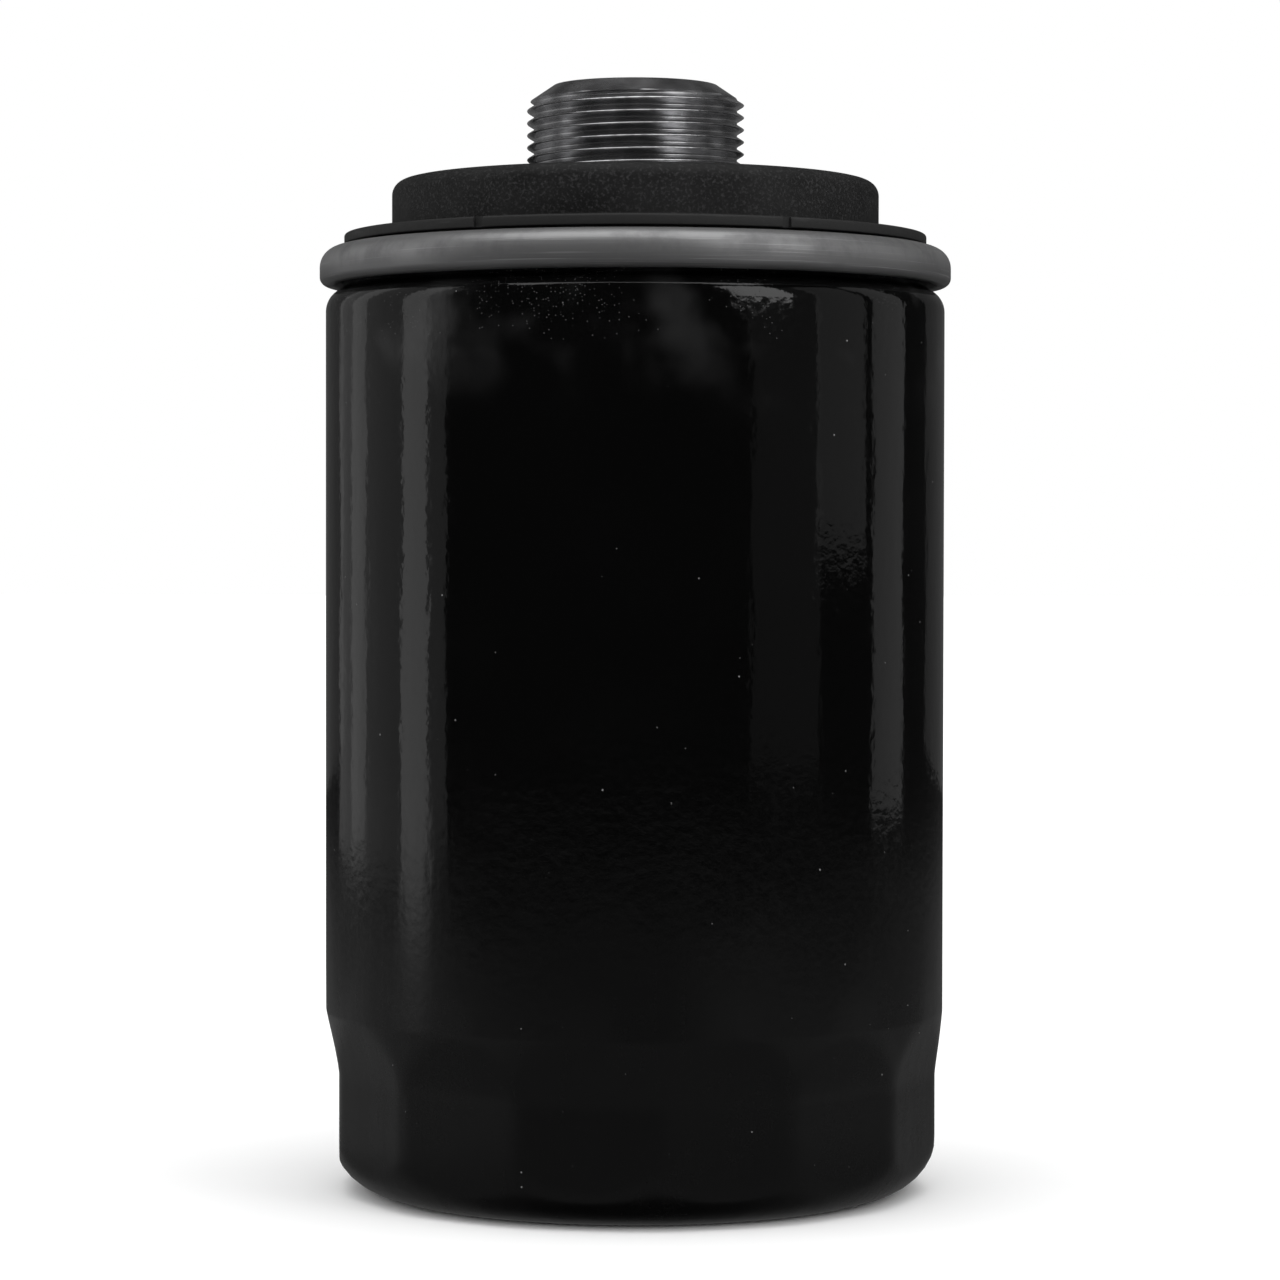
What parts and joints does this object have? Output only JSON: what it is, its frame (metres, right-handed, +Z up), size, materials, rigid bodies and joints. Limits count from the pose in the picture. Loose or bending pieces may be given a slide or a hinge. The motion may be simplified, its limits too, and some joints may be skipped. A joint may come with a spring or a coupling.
{
  "type": "spin-on oil filter",
  "caption": "Spin-on oil filter: black drawn can with wrench flats, rolled seam, tall rubber gasket, threaded stub, and a pleated element with a sprung bypass valve inside.",
  "frame": {"origin": "middle of the flat foot at the closed end, on the filter's axis", "axes": "+Z up the filter's axis, from the closed end to the threaded stub; -Y is the front, and +X is to its right"},
  "size_m": [0.0776, 0.0776, 0.1355],
  "materials": {
    "black_enamel": "gloss black stoved enamel",
    "bare_steel": "rolled, fine marks round the ring",
    "machined_steel": "turned, lightly oiled",
    "black_rubber": "matte moulded nitrile",
    "black_coated_steel": "satin black coating",
    "seam_rubber": "cured lining compound",
    "plated_steel": "zinc plated",
    "plastisol": "cast adhesive",
    "filter_paper": "resin-cured pleated paper",
    "black_nylon": "moulded, glass filled",
    "natural_nylon": "moulded",
    "spring_steel": "oiled music wire"
  },
  "bodies": {
    "housing": {"can": "black_enamel", "seaming_lid": "bare_steel", "seam_compound": "seam_rubber", "base_plate": "machined_steel", "threaded_stub": "machined_steel", "gasket": "black_rubber", "gasket_retainer": "black_coated_steel", "support_spring": "spring_steel"},
    "element": {"top_end_cap": "plated_steel", "upper_adhesive": "plastisol", "pleated_media": "filter_paper", "pleat_seam_clip": "plated_steel", "centre_tube": "plated_steel", "lower_adhesive": "plastisol", "bottom_end_cap": "plated_steel", "element_seal": "black_rubber", "anti_drainback_valve": "black_rubber", "bypass_valve_body": "black_nylon", "bypass_cage": "plated_steel", "spring_seat": "plated_steel", "bypass_spring": "spring_steel"},
    "bypass": {"bypass_poppet": "natural_nylon", "bypass_seal": "black_rubber"}
  },
  "joints": [
    {"name": "element_float", "type": "slide", "parent": "housing", "child": "element", "axis": [0, 0, -1], "range_m": [0, 0.0015], "stiffness_N_per_m": 4000, "springref_m": -0.002, "deforming": ["support_spring"]},
    {"name": "bypass_lift", "type": "slide", "parent": "element", "child": "bypass", "axis": [0, 0, 1], "range_m": [0, 0.003], "stiffness_N_per_m": 200, "springref_m": -0.0005, "deforming": ["bypass_spring"]}
  ]
}
